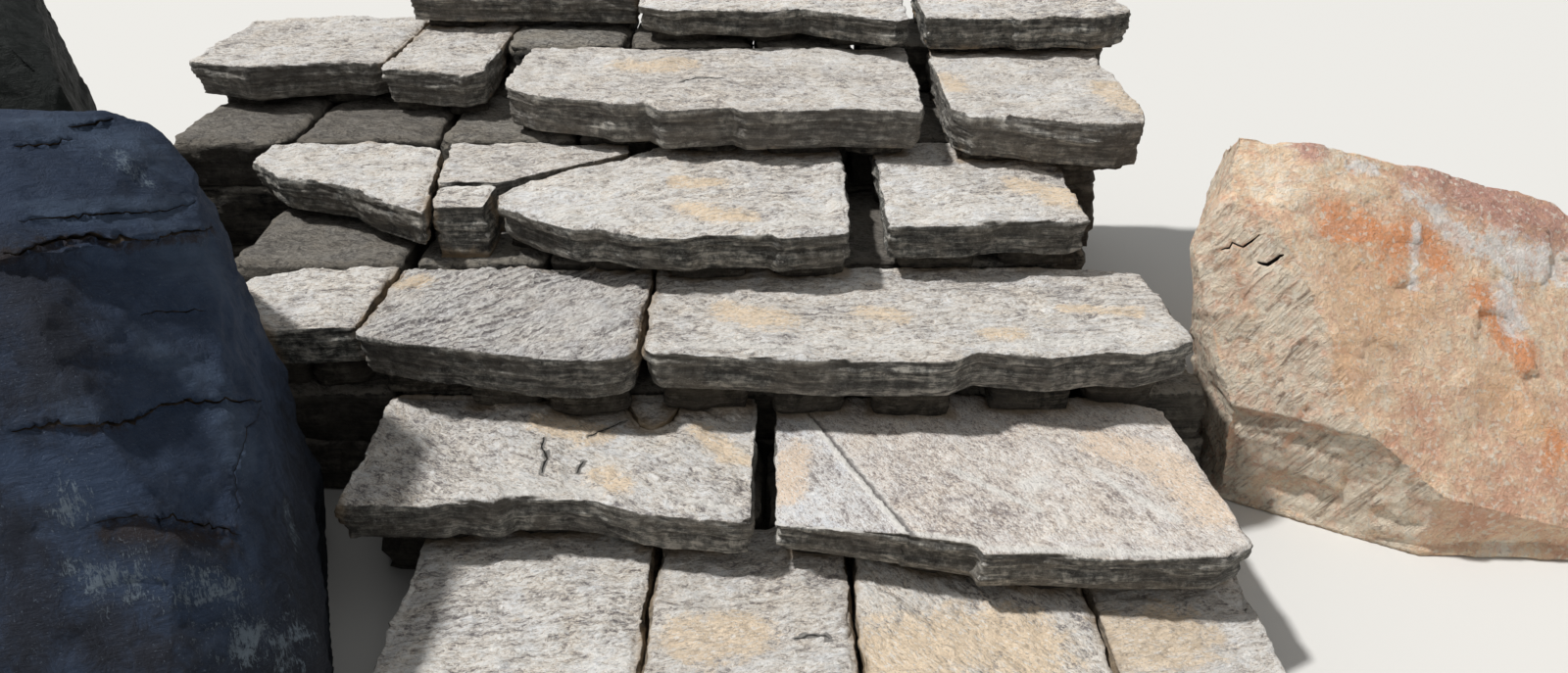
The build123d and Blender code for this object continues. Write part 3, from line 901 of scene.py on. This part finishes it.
def darkStone(name, look):
    # smooth dark stone, finely layered, with a knobbly skin
    material, shader = startMaterial(name)
    where = putNode("ShaderNodeTexCoord").outputs["Object"]
    up = upPart(putNode("ShaderNodeNewGeometry").outputs["Normal"])
    broad = cloud(where, 1.8, 5.0, 0.6, 0.5)
    sheets = cloud(measured(where, leftBedding, 46.0, 5.0), 1.0, 6.0, 0.70, 0.8)
    knobs = cloud(where, 24.0, 8.0, 0.70, 0.5)
    scrapes = cloud(measured(where, leftBedding, 50.0, 150.0), 1.0, 7.0, 0.80, 1.0)
    veins = cloud(measured(where, leftBedding, 120.0, 9.0), 1.0, 5.0, 0.72, 1.2)
    fleck = cloud(where, 210.0, 3.0, 0.7)
    # darker towards the bottom
    low = frayed(ranged(upPart(where), 0.80, 0.2), (knobs, 1.2))
    # painted sheen on lighter patches and along the ledges
    lit = frayed(readMark("paintedSheen"), (knobs, 1.6), (sheets, 1.0))
    # brown dust streaks, darkened further as painted shade where the lamp lights the left side
    dustAndShade = frayed(readMark("dustAndShade"), (knobs, 1.6), (scrapes, 1.0))
    rusty = frayed(readMark("rust"), (knobs, 2.2), (scrapes, 1.2))
    scuffed = frayed(readMark("scuff"), (scrapes, 3.0), (knobs, 2.6))
    colour = ramp(broad, look, deep=0.3, middle=0.55, pale=0.8)
    colour = painted(
        colour, look,
        ("pale", sheets, 0.54, 0.74, 0.25),
        ("deep", sheets, 0.46, 0.28, 0.35),
        ("deep", knobs, 0.50, 0.70, 0.55),
        ("pale", knobs, 0.42, 0.28, 0.45),
        ("pale", veins, 0.60, 0.74, 0.30),
        ("deep", veins, 0.40, 0.28, 0.40),
        # top faces darker: painted shade
        ("deep", up, 0.25, 0.95, 0.6),
        ("darkBelow", low, 0.2, 0.9, 0.9),
        ("paintedSheen", lit, 0.35, 0.95, 0.5),
        ("dustAndShade", dustAndShade, 0.20, 1.00, 0.8),
        ("rust", rusty, 0.45, 1.0, 0.75),
        ("scuff", scuffed, 0.75, 1.20, 0.7),
        ("fleck", fleck, 0.60, 0.74, 0.5),
    )
    roughness = ranged(knobs, 0.35, 0.7, 0.55, 0.8)
    height = weighed((knobs, 1.0), (sheets, 0.4), (veins, 0.15), (scrapes, 0.1))
    finishStone(shader, look, colour, roughness, height)
    return material


rustyLook = {
    "dark": paint(232, 180, 150),
    "middle": paint(255, 224, 188),
    "pale": paint(254, 244, 226),
    "grey": paint(253, 238, 214),
    "line": paint(150, 130, 114),
    "orange": paint(248, 198, 152),
    "rust": paint(246, 158, 100),
    "plum": paint(200, 148, 136),
    "quartz": paint(252, 246, 240),
    "fleck": paint(255, 250, 240),
    "roughness": 0.85,
    "specular": 0.3,
    "bump": 0.020,
}
foliation = (0.45, -0.25, 0.86)
endGrain = (-0.9, -0.42, 0.1)   # the side where the layers show end on


def rustyStone(name, look):
    # pinkish stone with rusty patches and a pale vein, and greyer where its layers show end on
    material, shader = startMaterial(name)
    where = putNode("ShaderNodeTexCoord").outputs["Object"]
    normal = putNode("ShaderNodeNewGeometry").outputs["Normal"]
    broad = cloud(where, 2.6, 6.0, 0.62, 0.8)
    mottle = cloud(where, 14.0, 8.0, 0.72, 0.6)
    fine = cloud(where, 60.0, 6.0, 0.72)
    fleck = cloud(where, 190.0, 3.0, 0.7)
    streaks = cloud(measured(where, foliation, 7.0, 40.0), 1.0, 7.0, 0.72, 1.0)
    lines = cloud(measured(where, foliation, 5.0, 62.0), 1.0, 6.0, 0.68, 0.8)
    broken = vectors("ADD", where, combined(times(mottle, 0.03), times(fine, 0.02), 0.0))
    flats = facets(scaled(broken, 0.045))
    smallFlats = facets(scaled(broken, 0.016))
    ground = weighed((broad, 0.4), (mottle, 0.3), (streaks, 0.3))
    colour = ramp(ground, look, dark=0.41, middle=0.50, pale=0.58)
    side = ranged(frayed(dot(normal, endGrain), (mottle, 0.6)), 0.60, 0.86)
    greyed = painted(look["grey"], look, ("line", lines, 0.49, 0.64, 0.9), ("pale", lines, 0.46, 0.34, 0.6))
    colour = blend(times(side, 0.85), colour, greyed)
    ragged = total(swing(mottle, 1.8), swing(fine, 1.0), swing(streaks, 1.0))
    # each mark from and to where, how strong, and how much the broad pattern shifts it
    for mark, low, high, strength, shift in (
        ("orange", 0.35, 0.95, 0.75, 1.04), ("rust", 0.40, 0.90, 0.85, 1.56),
        ("plum", 0.30, 0.85, 0.85, -1.56), ("quartz", 0.40, 0.85, 0.9, 0.0),
    ):
        amount = total(readMark(mark), ragged, swing(broad, shift))
        colour = painted(colour, look, (mark, amount, low, high, strength))
    colour = painted(
        colour, look,
        ("dark", fine, 0.47, 0.32, 0.6),
        ("pale", fine, 0.54, 0.70, 0.6),
        ("line", lines, 0.60, 0.70, 0.55),
        ("dark", flats, 0.40, 0.25, 0.35),
        ("pale", smallFlats, 0.58, 0.76, 0.6),
        ("fleck", fleck, 0.58, 0.72, 0.5),
        ("line", fleck, 0.43, 0.30, 0.5),
    )
    height = weighed((mottle, 0.7), (fine, 0.4), (streaks, 0.4), (lines, 0.3), (times(side, lines), 0.4),
                     (flats, 0.5), (smallFlats, 0.2))
    finishStone(shader, look, colour, look["roughness"], height)
    return material


leftStone = darkStone("darkBoulder", darkLook)
shadedStone = darkStone("shadedBoulder", shadedLook)
rightStone = rustyStone("rustyBoulder", rustyLook)
print("materials made")


# slabs: every tread and riser that shows
slabSkin = {"spacing": 0.0065, "stretch": 2.2, "smoothing": 1}
slabWeather = {
    "plateHeight": 0.034, "plateDepth": 0.010, "roughSize": 0.045, "roughDepth": 0.011, "facetShare": 0.7,
    "terraceSize": 0.16, "terraceDepth": 0.014, "grainTurn": -0.15, "ridgeSize": 0.032, "ridgeDepth": 0.003,
    "chipSize": 0.085, "chipDepth": 0.012, "swellSize": 0.16, "swellDepth": 0.010, "outset": 0.014,
}
# triangles for each slab of a step
slabBudgets = {
    "step1": 29000, "step2": 40000, "step3": 37000, "step4": 28000, "step5": 24000, "step6": 19000,
}
# what a slab has of its own, with its lines in the photo: a crack's width and depth come before its line, and
# the reach of a sandy stain or a pale worn line before its own. A ridge slants across the top, and the face on
# its left has a cooler painted tint of light, the one on its right lower.
slabDetails = {
    "step1_inner_slab": {
        "weather": {"grainTurn": 0.9, "ridgeDepth": 0.001},
        "sand": [(0.20, (890, 665), (960, 655), (1050, 665))],
    },
    "step1_middle_slab": {
        "cracks": [(0.002, 0.010, (810, 652), (830, 648), (846, 652))],
        "sand": [(0.12, (700, 650), (760, 640))],
    },
    "step1_right_slab": {"sand": [(0.16, (1120, 655), (1200, 645))]},
    "step2_left_slab": {
        "weather": {"grainTurn": 0.5, "terraceDepth": 0.022, "ridgeDepth": 0.002, "chipDepth": 0.010},
        "cracks": [
            (0.0028, 0.014, (556, 446), (553, 456), (558, 468), (553, 482)),
            (0.0024, 0.012, (600, 446), (618, 438), (640, 429)),
            (0.0018, 0.008, (587, 483), (590, 477), (594, 471)),
        ],
        "sand": [
            (0.08, (625, 495), (618, 482)), (0.09, (560, 430), (600, 440)), (0.07, (715, 440), (752, 470)),
        ],
        "worn": [(0.030, (520, 503), (560, 500), (612, 502)), (0.020, (690, 508), (750, 520))],
    },
    "step2_back_stone": {"weather": {"chipDepth": 0.006, "outset": 0.011, "swellDepth": 0.004}},
    "step2_right_slab": {
        "finish": speckledStone,
        "weather": {
            "grainTurn": 1.1, "terraceDepth": 0.004, "ridgeDepth": 0.001, "roughDepth": 0.007,
            "swellDepth": 0.006, "outset": 0.009,
        },
        "ridge": ((848, 449), (928, 545)),
        "sand": [(0.09, (812, 462), (800, 500)), (0.12, (1130, 455), (1190, 475), (1235, 520))],
        "worn": [
            (0.024, (848, 449), (885, 492), (928, 545)), (0.022, (975, 480), (1015, 500), (1060, 520)),
            (0.025, (1112, 478), (1150, 502), (1200, 530)), (0.05, (1050, 494), (1062, 494)),
            (0.022, (930, 546), (1000, 555)), (0.022, (1010, 560), (1120, 563), (1235, 566)),
        ],
    },
    "step3_middle_slab": {
        "finish": rippledStone,
        "weather": {"grainTurn": -0.75, "ridgeDepth": 0.010, "ridgeSize": 0.028},
        "sand": [(0.07, (398, 290), (428, 288)), (0.06, (330, 320), (360, 300))],
        "worn": [(0.02, (470, 340), (505, 318), (545, 296)), (0.018, (420, 322), (470, 296))],
    },
    "step3_right_slab": {
        "weather": {"grainTurn": -0.1, "ridgeDepth": 0.004},
        "sand": [
            (0.10, (745, 318), (795, 325)), (0.08, (885, 320), (915, 324)), (0.06, (1012, 340), (1035, 340)),
            (0.05, (1090, 315), (1160, 318)),
        ],
        "worn": [
            (0.03, (700, 352), (760, 352), (820, 356)), (0.03, (860, 350), (950, 356)),
            (0.03, (1040, 350), (1130, 348)),
        ],
    },
    "step4_middle_slab": {
        "weather": {"grainTurn": -0.3, "ridgeDepth": 0.003},
        "sand": [(0.07, (697, 187), (730, 187)), (0.09, (702, 210), (755, 222))],
        "worn": [(0.03, (560, 218), (640, 228)), (0.03, (760, 228), (850, 228))],
    },
    "step4_right_slab": {"sand": [(0.12, (1050, 190), (1100, 205))]},
    "step5_middle_slab": {
        "weather": {"grainTurn": 0.1, "ridgeDepth": 0.003},
        "cracks": [(0.003, 0.014, (693, 84), (712, 79), (736, 80))],
        "sand": [(0.10, (640, 68), (700, 66))],
    },
    "step5_right_slab": {"sand": [(0.10, (960, 78), (980, 90)), (0.12, (1130, 90), (1160, 110))]},
}
ridgeShape = {"step": 0.006, "reach": 0.06}
# reach of the soil and painted shade beside other stones
soilAndShadeReach = 0.07


def ridged(mesh, line):
    # the face right of the ridge steps down beside it; the mark is 0.5 on the ridge, and grows by 0.5
    # with each metre to its left
    left = acrossLine(mesh, surfaceOf(mesh), line)
    setMark(mesh, "ridgeSide", 0.5 + left / 2)
    points = readPoints(mesh)
    points[:, 2] -= np.where(left < 0, ridgeShape["step"] * np.exp(left / ridgeShape["reach"]), 0)
    writePoints(mesh, points)


def makeSlabs():
    generator = np.random.default_rng(crackSeeds["slabs"])
    for order, node in enumerate(sorted(nodes)):
        if slots[node] != "split_grey_stone":
            continue
        own = slabDetails.get(node, {})
        numbers = {**slabWeather, "seed": float(order), **own.get("weather", {})}
        mesh = weathered(node, own.get("finish", slabStone), slabSkin, numbers)
        if "ridge" in own:
            ridged(mesh, own["ridge"])
        mesh = cracked(mesh, own.get("cracks", []), generator, crackWall)
        mesh = thinned(mesh, slabBudgets[node[:5]])
        surface = surfaceOf(mesh)
        for mark in ("sand", "worn"):
            setMark(mesh, mark, photoMark(mesh, surface, own.get(mark, [])))
        setMark(mesh, "near", closeness(mesh, node, soilAndShadeReach))
        finishPiece(mesh, node)


makeSlabs()
print("slabs made")


# base and packing stones, by their slots
rubbleLooks = {
    "base_stone": {
        "finish": baseStone, "budget": 24000, "skin": {"spacing": 0.015, "stretch": 1.4, "smoothing": 2},
        "weather": {
            "plateHeight": 0.055, "plateDepth": 0.016, "roughSize": 0.07, "roughDepth": 0.014,
            "facetShare": 0.6, "terraceSize": 0.25, "terraceDepth": 0.010, "grainTurn": 0.3,
            "ridgeSize": 0.04, "ridgeDepth": 0.003, "chipSize": 0.12, "chipDepth": 0.020,
            "swellSize": 0.3, "swellDepth": 0.010, "outset": 0.020,
        },
    },
    "bedding_stone": {
        "finish": packingStone, "budget": 11000, "skin": {"spacing": 0.008, "stretch": 1.2, "smoothing": 3},
        "weather": {
            "plateHeight": 0.030, "plateDepth": 0.008, "roughSize": 0.035, "roughDepth": 0.006,
            "facetShare": 0.5, "terraceSize": 0.10, "terraceDepth": 0.003, "grainTurn": 0.3,
            "ridgeSize": 0.03, "ridgeDepth": 0.001, "chipSize": 0.05, "chipDepth": 0.008,
            "swellSize": 0.15, "swellDepth": 0.004, "outset": 0.016,
        },
    },
}


def makeBase():
    for order, node in enumerate(sorted(nodes)):
        look = rubbleLooks.get(slots[node])
        if look:
            numbers = {**look["weather"], "seed": float(order)}
            mesh = weathered(node, look["finish"], look["skin"], numbers)
            finishPiece(thinned(mesh, look["budget"]), node)


makeBase()
print("base and packing stones made")


# boulders
boulderWeather = {
    "plateHeight": 0.10, "plateDepth": 0.010, "roughSize": 0.11, "roughDepth": 0.012, "facetShare": 0.2,
    "terraceSize": 0.35, "terraceDepth": 0.012, "grainTurn": 0.3, "ridgeSize": 0.05, "ridgeDepth": 0.004,
    "chipSize": 0.16, "chipDepth": 0.030, "swellSize": 0.45, "swellDepth": 0.025, "outset": 0.0,
}
# lines of the left boulder in the photo that are both ledges and cracks
topNotch = ((70, 130), (92, 126), (116, 121))
sideNotch = ((15, 150), (45, 148), (74, 142))
thinLayer = ((19, 227), (60, 222), (110, 218), (163, 216), (201, 206))
overhang = ((4, 259), (19, 258), (58, 245), (93, 239), (116, 246), (163, 245), (174, 239), (217, 233))
shortLine = ((143, 320), (175, 317), (209, 317))
middleCrack = ((12, 440), (50, 434), (97, 434), (136, 430), (163, 415), (194, 409), (240, 409), (267, 409))
lowLedge = ((96, 533), (140, 527), (190, 531), (246, 545))
# each boulder's ledges (depth, width and line), cracks (width, depth and line) and marks (reach and line)
boulders = {
    "left_boulder": {
        "finish": leftStone, "budget": 95000, "skin": {"spacing": 0.0105, "stretch": 1.0, "smoothing": 10},
        "ledges": [
            (0.012, 0.09, *topNotch),
            (0.007, 0.05, *sideNotch),
            (0.008, 0.05, *thinLayer),
            (0.014, 0.09, *overhang),
            (0.006, 0.05, *shortLine),
            (0.005, 0.04, (20, 372), (80, 366), (150, 372), (230, 360)),
            (0.012, 0.08, *middleCrack),
            (0.016, 0.12, *lowLedge),
            (0.006, 0.05, (60, 600), (140, 590), (230, 606), (300, 600)),
        ],
        "cracks": [
            (0.007, 0.020, *topNotch),
            (0.006, 0.018, *sideNotch),
            (0.005, 0.020, *thinLayer),
            (0.010, 0.030, *overhang),
            (0.004, 0.012, *shortLine),
            (0.009, 0.040, *middleCrack),
            (0.003, 0.012, (267, 413), (252, 444), (240, 483), (242, 525)),
            (0.006, 0.016, *lowLedge),
        ],
        "marks": {
            "rust": [
                (0.035, (4, 262), (58, 248), (93, 242), (116, 249), (163, 248), (217, 236)),
                (0.025, (50, 436), (97, 437), (127, 436)), (0.05, (110, 542), (170, 544), (230, 550)),
            ],
            # painted sheen on lighter patches and ledge edges
            "paintedSheen": [
                (0.16, (175, 255), (215, 270)), (0.12, (232, 415), (250, 465)), (0.14, (40, 125), (150, 150)),
                (0.10, (160, 360), (205, 385)), (0.08, (45, 215), (180, 212)), (0.07, (60, 400), (85, 425)),
            ],
            # brown dust streaks and painted shade
            "dustAndShade": [
                (0.18, (25, 285), (50, 330), (45, 390)), (0.14, (15, 540), (25, 600), (30, 670)),
                (0.10, (120, 550), (220, 560)), (0.12, (100, 640), (150, 670)),
            ],
            "scuff": [
                (0.12, (104, 590), (140, 585)), (0.12, (200, 590), (240, 610)), (0.14, (246, 651), (300, 655)),
                (0.08, (69, 498), (75, 520)), (0.07, (292, 525), (300, 550)), (0.07, (120, 160), (150, 185)),
            ],
        },
    },
    "right_boulder": {
        "finish": rightStone, "budget": 74000, "skin": {"spacing": 0.0105, "stretch": 1.0, "smoothing": 4},
        "weather": {"facetShare": 0.75, "roughSize": 0.12, "roughDepth": 0.022},
        "cracks": [
            (0.009, 0.025, (1246, 257), (1258, 249), (1268, 251), (1286, 241)),
            (0.011, 0.030, (1283, 268), (1293, 269), (1303, 264), (1309, 258)),
        ],
        "marks": {
            "orange": [
                (0.22, (1383, 286), (1400, 330), (1440, 310)), (0.14, (1371, 360), (1380, 390)),
                (0.18, (1530, 400), (1580, 440)),
            ],
            "rust": [
                (0.12, (1360, 222), (1400, 232)), (0.14, (1420, 250), (1449, 235), (1466, 268)),
                (0.10, (1511, 300), (1537, 346), (1556, 365)), (0.10, (1592, 450), (1580, 480)),
            ],
            "plum": [
                (0.20, (1474, 177), (1509, 194), (1543, 214), (1577, 229)), (0.08, (1305, 140), (1335, 150)),
            ],
            "quartz": [
                (0.07, (1446, 200), (1457, 211), (1480, 234), (1509, 254)),
                (0.12, (1520, 250), (1545, 262), (1590, 275)), (0.09, (1537, 300), (1543, 329)),
                (0.035, (1446, 229), (1443, 262), (1441, 294)), (0.06, (1383, 169), (1400, 172)),
            ],
        },
    },
    "upper_left_boulder": {
        "finish": shadedStone, "budget": 22000, "skin": {"spacing": 0.015, "stretch": 1.0, "smoothing": 6},
    },
}


def makeBoulders():
    generator = np.random.default_rng(crackSeeds["boulders"])
    for order, (node, own) in enumerate(boulders.items()):
        numbers = {**boulderWeather, "seed": float(order), **own.get("weather", {})}
        mesh = weathered(node, own["finish"], own["skin"], numbers)
        mesh = ledged(mesh, own.get("ledges", []), leftBedding)
        mesh = cracked(mesh, own.get("cracks", []), generator, crackWall)
        mesh = thinned(mesh, own["budget"])
        surface = surfaceOf(mesh)
        for mark, lines in own.get("marks", {}).items():
            setMark(mesh, mark, photoMark(mesh, surface, lines))
        finishPiece(mesh, node)


makeBoulders()
print("boulders made")


# floor, world and lamp
studio = {
    "floorColour": paint(220, 218, 213),
    "floorRoughness": 0.9,
    "floorReach": 60.0,
    "sky": (0.97, 0.985, 1.0),
    "skyStrength": 0.35,
    "backdrop": paint(226, 225, 221),
    "sunStrength": 3.15,
    "sunFrom": (-0.60, 0.03, 1.0),
    "sunSpread": 4.0,           # degrees
}


def makeStudio():
    reach = studio["floorReach"]
    corners = [(-reach, -reach, 0), (reach, -reach, 0), (reach, reach, 0), (-reach, reach, 0)]
    mesh = bpy.data.meshes.new("floor")
    mesh.from_pydata(corners, [], [(0, 1, 2, 3)])
    floor = placed("floor", mesh)
    material, shader = startMaterial("paleFloor")
    plug(shader.inputs["Base Color"], (*studio["floorColour"], 1))
    plug(shader.inputs["Roughness"], studio["floorRoughness"])
    mesh.materials.append(material)

    world = bpy.data.worlds.new("studio")
    startTree(world)
    sky = {"Color": (*studio["sky"], 1), "Strength": studio["skyStrength"]}
    backdrop = {"Color": (*studio["backdrop"], 1), "Strength": 1.0}
    light = putNode("ShaderNodeBackground", sky)
    seen = putNode("ShaderNodeBackground", backdrop)
    path = putNode("ShaderNodeLightPath").outputs["Is Camera Ray"]
    mixed = putNode("ShaderNodeMixShader", {0: path, 1: light.outputs[0], 2: seen.outputs[0]})
    putNode("ShaderNodeOutputWorld", {"Surface": mixed.outputs[0]})
    bpy.context.scene.world = world

    lamp = bpy.data.lights.new("keyLamp", "SUN")
    lamp.energy = studio["sunStrength"]
    lamp.angle = math.radians(studio["sunSpread"])
    key = placed("keyLamp", lamp)
    key.rotation_euler = Vector(studio["sunFrom"]).to_track_quat("Z", "Y").to_euler()
    bpy.context.scene.view_settings.view_transform = "Standard"


makeStudio()
print("studio set")
